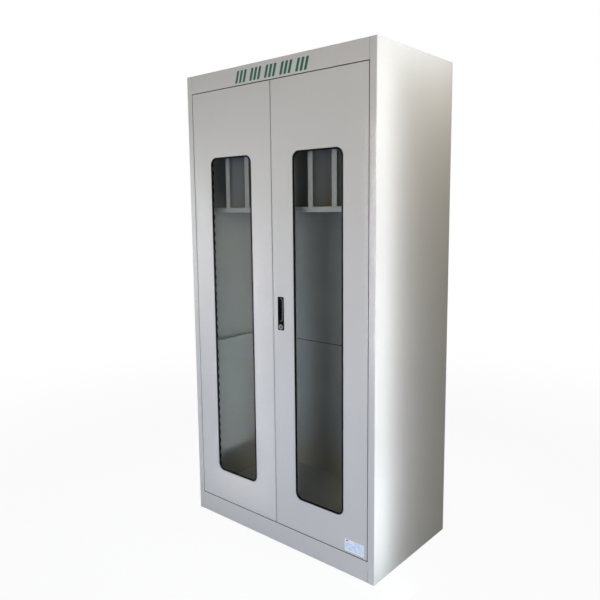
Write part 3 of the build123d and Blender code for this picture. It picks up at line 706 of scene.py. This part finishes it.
# %% Label film
def label_film(name, low, high):
    """Pale blue, clouded film with a white rim and head and a red spot; low and high are its corners."""
    width, height = high.x - low.x, high.z - low.z
    rim_left, rim_right, rim_foot = 0.003, 0.006, 0.006
    head_width, head_height = 0.045, 0.013
    ruled_every = 0.0075
    dot_across, dot_below, dot_radius = 0.012, 0.006, 0.003
    film = finish(name)
    spot = film.node("TexCoord", output="Object")
    across = film.node("SeparateXYZ", {}, {0: spot}, output="X") - low.x
    up = film.node("SeparateXYZ", {}, {0: spot}, output="Z") - low.z
    clouds = film.ramp(film.noise(130.0, 2.0), 0.35, 0.65)
    tint = film.mix(clouds, tone(0.50, 0.66, 0.84), tone(0.76, 0.84, 0.92))
    rule = film.node("Math", {"operation": "SINE"}, {0: up * (2 * pi / ruled_every)})
    ruled = film.mix((rule > 0.8) * 0.6, tint, tone(0.45, 0.58, 0.76))
    head = (up > height - head_height) * (across < head_width)
    rim = (across < rim_left) + (across > width - rim_right) + (up < rim_foot) + head
    edged = film.mix(rim, ruled, tone(0.82, 0.80, 0.84))
    aside = across - dot_across
    over = up - (height - dot_below)
    dot = (aside * aside * 0.25 + over * over) < dot_radius ** 2      # twice as wide as high
    base = film.mix(dot, edged, tone(0.30, 0.04, 0.06))
    ripple = film.noise(110.0, 2.0)
    return film.surface(Base_Color=base, Roughness=0.28 + ripple * 0.1, Normal=film.bump(ripple, 0.0001, 0.4))


# %% Thin plates in rows
thin_plates = Shaping("thin_plates", centre="Vector", width="Float", height="Float", slant="Float",
                      corner="Float", thickness="Float", bars="Int", bar_pitch="Float", groups="Int",
                      group_pitch="Float", finish="Material")
leaning = thin_plates.node("CurvePrimitiveQuadrilateral", {"mode": "PARALLELOGRAM"},
                           {"Width": thin_plates.input("width"), "Height": thin_plates.input("height"),
                            "Offset": thin_plates.input("slant")})
eased = thin_plates.node("FilletCurve", {"mode": "POLY"},
                         {"Curve": leaning, "Count": 5, "Radius": thin_plates.input("corner")})
sheet = thin_plates.node("FillCurve", {"mode": "NGONS"}, {"Curve": eased})
raised = thin_plates.node("ExtrudeMesh", {}, {
    "Mesh": sheet, "Offset Scale": thin_plates.input("thickness"), "Individual": False})
under = thin_plates.node("FlipFaces", {}, {"Mesh": sheet})
loose = thin_plates.node("JoinGeometry", {}, {"Geometry": [raised, under]})
touching = 0.00001      # corners nearer than this are one
plate = thin_plates.node("MergeByDistance", {}, {"Geometry": loose, "Distance": touching})


def centred_row(graph, count, pitch, piece):
    """Copies of a piece in a row along x, with the middle of the row at the origin."""
    start = graph.node("ShaderNodeCombineXYZ", {}, {"X": (1 - graph.input(count)) * graph.input(pitch) * 0.5})
    step = graph.node("ShaderNodeCombineXYZ", {}, {"X": graph.input(pitch)})
    row = graph.node("MeshLine", {}, {"Count": graph.input(count), "Start Location": start, "Offset": step})
    return graph.node("InstanceOnPoints", {}, {"Points": row, "Instance": piece})


group = centred_row(thin_plates, "bars", "bar_pitch", plate)
groups = centred_row(thin_plates, "groups", "group_pitch", group)
thin_plates.end(thin_plates.node("Transform", {}, {
    "Geometry": groups, "Translation": thin_plates.input("centre"), "Rotation": (pi / 2, 0, 0)}))

thin_plates.make(
    "header_marks", "carcass", centre=(0.004, front, 1.957), width=0.0125, height=0.048, slant=0.014,
    corner=0.0016, thickness=0.0002, bars=3, bar_pitch=0.0215, groups=5, group_pitch=0.0815,
    finish=green_ink)

label_width, label_height = 0.091, 0.048
label_low, label_high = Vector((0.363, front, 0.097)), Vector((0.454, front, 0.145))
thin_plates.make(
    "door_label", "door_right", centre=(label_low + label_high) / 2, width=label_width,
    height=label_height, slant=0.0, corner=0.003, thickness=0.00012, bars=1, bar_pitch=0.0, groups=1,
    group_pitch=0.0, finish=label_film("label_film", label_low, label_high))

# %% [markdown]
# ## Seam and welds on the back
#
# The back is two sheets, one lapped over the other at mid height. Along the step between them
# runs a near-black bead, a painted shadow under the upper sheet's edge, and it wanders by a
# millimetre. The sheets are held by three rows of spot welds, each a small ring where the
# electrode pressed. The bead is a round section carried along a line that a noise has shaken,
# and one ring is copied along each row.

# %% Bead of painted shadow along the lap
# A near-black finish for the bead: painted shade for the shadow under the upper sheet's lower edge.
def lap_shadow_finish(name):
    grey = finish(name)
    smear = grey.ramp(grey.noise(60.0, 3.0), 0.4, 0.7)
    base = grey.mix(smear, tone(0.010, 0.010, 0.010), tone(0.028, 0.027, 0.026))
    return grey.surface(Base_Color=base, Specular_IOR_Level=0.3, Roughness=0.5 + smear * 0.2,
                        Normal=grey.bump(grey.noise(500.0, 2.0), 0.0001, 0.5))


bead_run = Shaping("bead_run", start="Vector", end="Vector", radius="Float", wander="Float",
                   finish="Material")
straight = bead_run.node("CurvePrimitiveLine", {}, {
    "Start": bead_run.input("start"), "End": bead_run.input("end")})
stepped = bead_run.node("ResampleCurve", {}, {"Curve": straight, "Count": 240})
wobble = bead_run.node("ShaderNodeTexNoise", {"noise_dimensions": "3D"}, {"Scale": 14.0, "Detail": 2.0})
shake = bead_run.node("ShaderNodeCombineXYZ", {}, {"Z": (wobble - 0.5) * bead_run.input("wander")})
laid = bead_run.node("SetPosition", {}, {"Geometry": stepped, "Offset": shake})
ring = bead_run.node("CurvePrimitiveCircle", {"mode": "RADIUS"}, {
    "Resolution": 12, "Radius": bead_run.input("radius")})
bead_run.end(bead_run.node("CurveToMesh", {}, {"Curve": laid, "Profile Curve": ring, "Fill Caps": True}))

lap_low, lap_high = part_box("back_panel_upper")
bead_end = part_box("post_rear_right")[0].x + 0.012      # how far the bead runs from the middle
bead_in = 0.0006                                       # its middle, from the lap's lower edge
bead_y, bead_z = lap_low.y + bead_in, lap_low.z - bead_in
bead_run.make("back_seam_bead", "carcass", start=(-bead_end, bead_y, bead_z), end=(bead_end, bead_y, bead_z),
              radius=0.0017, wander=0.003, finish=lap_shadow_finish("painted_lap_shadow"))

# %% Spot welds
weld_rows = Shaping("weld_rows", start="Vector", count="Int", pitch="Float", radius="Float", rim="Float",
                    finish="Material")
circle = weld_rows.node("CurvePrimitiveCircle", {"mode": "RADIUS"}, {
    "Resolution": 20, "Radius": weld_rows.input("radius")})
lip = weld_rows.node("CurvePrimitiveCircle", {"mode": "RADIUS"}, {
    "Resolution": 6, "Radius": weld_rows.input("rim")})
one_ring = weld_rows.node("CurveToMesh", {}, {"Curve": circle, "Profile Curve": lip})
one_weld = weld_rows.node("Transform", {}, {"Geometry": one_ring, "Rotation": (pi / 2, 0, 0)})
along = weld_rows.node("ShaderNodeCombineXYZ", {}, {"X": weld_rows.input("pitch")})
row = weld_rows.node("MeshLine", {}, {
    "Count": weld_rows.input("count"), "Offset": along, "Start Location": weld_rows.input("start")})
weld_rows.end(weld_rows.node("InstanceOnPoints", {}, {"Points": row, "Instance": one_weld}))

weld_count, weld_pitch = 12, 0.08
first_weld = -(weld_count - 1) * weld_pitch / 2
below_top, above_lap, foot_row = 0.010, 0.012, 0.094    # the rows: from the sheet's ends, and above the floor
weld_heights = {"top": lap_high.z - below_top, "middle": lap_low.z + above_lap, "bottom": foot_row}
for name, height in weld_heights.items():
    weld_rows.make("spot_welds_" + name, "carcass", start=(first_weld, lap_high.y, height), count=weld_count,
                   pitch=weld_pitch, radius=0.0034, rim=0.0004, finish=grey_coat)
